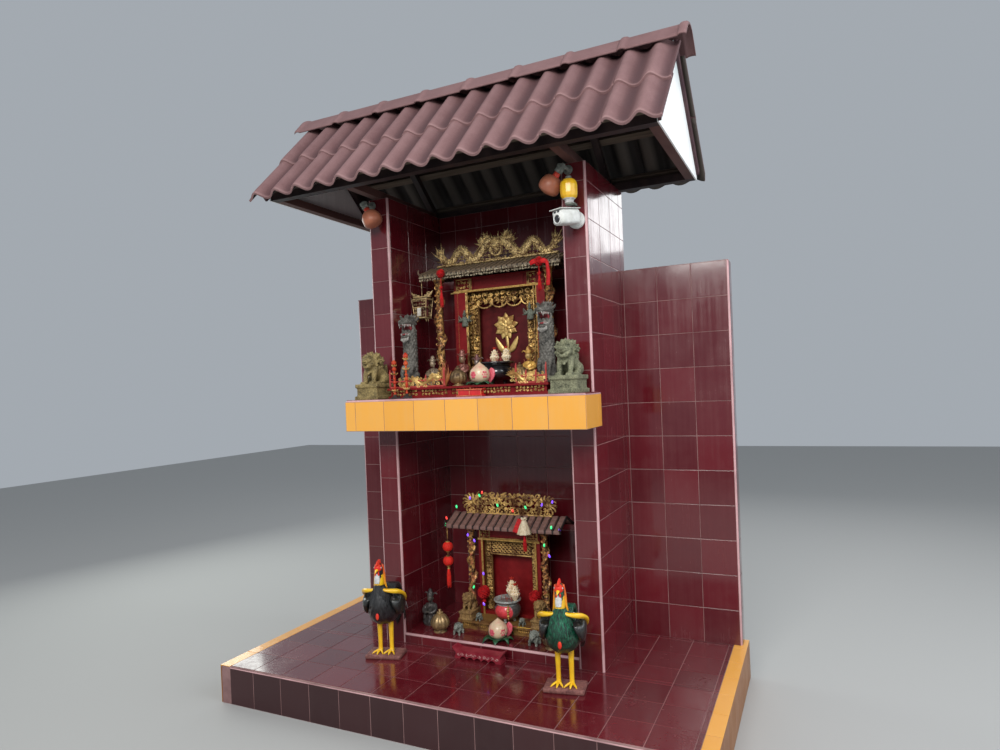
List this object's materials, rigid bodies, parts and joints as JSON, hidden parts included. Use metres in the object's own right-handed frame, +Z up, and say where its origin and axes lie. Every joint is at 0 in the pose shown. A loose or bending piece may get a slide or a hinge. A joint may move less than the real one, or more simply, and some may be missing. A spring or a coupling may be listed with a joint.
{
  "type": "spirit house",
  "caption": "Two-storey tiled spirit house: masonry niche with an upper and a lower altar under a small double-roll tile roof, wing walls and a raised platform",
  "frame": {"origin": "on the ground under the centre of the whole object's bounding box", "axes": "+Z up, +X to the right as seen from the front, -Y out of the front of the niche; +Y to the back wall"},
  "size_m": [2.75, 1.464, 3.552],
  "materials": {
    "maroon_tile": "glossy deep maroon wall and floor tiles with pale grout",
    "orange_tile": "satin amber-orange border tiles",
    "edge_bead": "pale pink corner bead",
    "dark_timber": "dark red-brown painted steel and timber frame",
    "batten": "weathered grey-brown battens",
    "roof_tile": "matte pinkish-brown roof tile with paler worn edges",
    "ridge_tile": "matte pinkish-brown ridge cap with dark joints",
    "white_panel": "white panel with faint grey streaks",
    "verge_trim": "dark purple-maroon edge strip",
    "red_lacquer": "deep red lacquer with worn gold lines",
    "gilt": "antique gold paint over red",
    "altar_roof": "dark green and gold ribbed roof, dusty",
    "lower_roof": "dusty grey-brown ribbed roof",
    "green_stone": "greenish-grey painted stone",
    "grey_stone": "dark grey carved stone",
    "black_glaze": "glossy near-black glaze",
    "old_brass": "dull old brass",
    "cream_peach": "cream peach with pink blush on green leaves",
    "red_gold": "red paint with gold knobs",
    "lantern_red": "red cloth lanterns with gold ends and a tassel",
    "rooster_paint": "dark green-black painted bird with yellow legs and a maroon base",
    "paper_gold": "folded cream and gold paper with red tips",
    "red_cloth": "bright red folded cloth and silk tassels",
    "lamp_red": "brown-red reflector lamp with a red neck",
    "lamp_yellow": "yellow lamp with silver cap",
    "camera_white": "white camera housing with dark windows"
  },
  "bodies": {
    "root": {"platform": "maroon_tile", "platform_side_tiles": "orange_tile", "niche_plinth": "maroon_tile", "left_side_wall": "maroon_tile", "right_side_wall": "maroon_tile", "back_wall": "maroon_tile", "left_wing_wall": "maroon_tile", "right_wing_wall": "maroon_tile", "altar_shelf": "orange_tile", "edge_trims": "edge_bead", "eave_beams": "dark_timber", "roof_ties": "dark_timber", "roof_rafters": "dark_timber", "ridge_beam": "dark_timber", "tile_battens": "batten", "front_roof_tiles": "roof_tile", "rear_roof_tiles": "roof_tile", "ridge_caps": "ridge_tile", "left_gable_panel": "white_panel", "right_gable_panel": "white_panel", "verge_trims": "verge_trim", "upper_altar_base": "red_lacquer", "upper_altar_cabinet": "red_lacquer", "upper_altar_frame": "gilt", "upper_altar_columns": "gilt", "upper_altar_roof": "altar_roof", "upper_ridge_dragons": "gilt", "gilt_emblem": "gilt", "altar_rail": "gilt", "hanging_lantern": "gilt", "lower_altar_base": "red_lacquer", "lower_altar_cabinet": "red_lacquer", "lower_altar_frame": "gilt", "lower_altar_columns": "gilt", "lower_altar_roof": "lower_roof", "lower_altar_crest": "gilt", "guardian_lions": "green_stone", "beast_statues": "grey_stone", "seated_figures": "gilt", "pot_flowers": "paper_gold", "cloth_ornaments": "red_cloth", "incense_pots": "black_glaze", "brass_urns": "old_brass", "peach_offerings": "cream_peach", "candle_stands": "red_gold", "offering_stands": "red_gold", "lantern_chain": "lantern_red", "roosters": "rooster_paint", "flood_lamps": "lamp_red", "yellow_lamp": "lamp_yellow", "bullet_camera": "camera_white"}
  },
  "joints": []
}
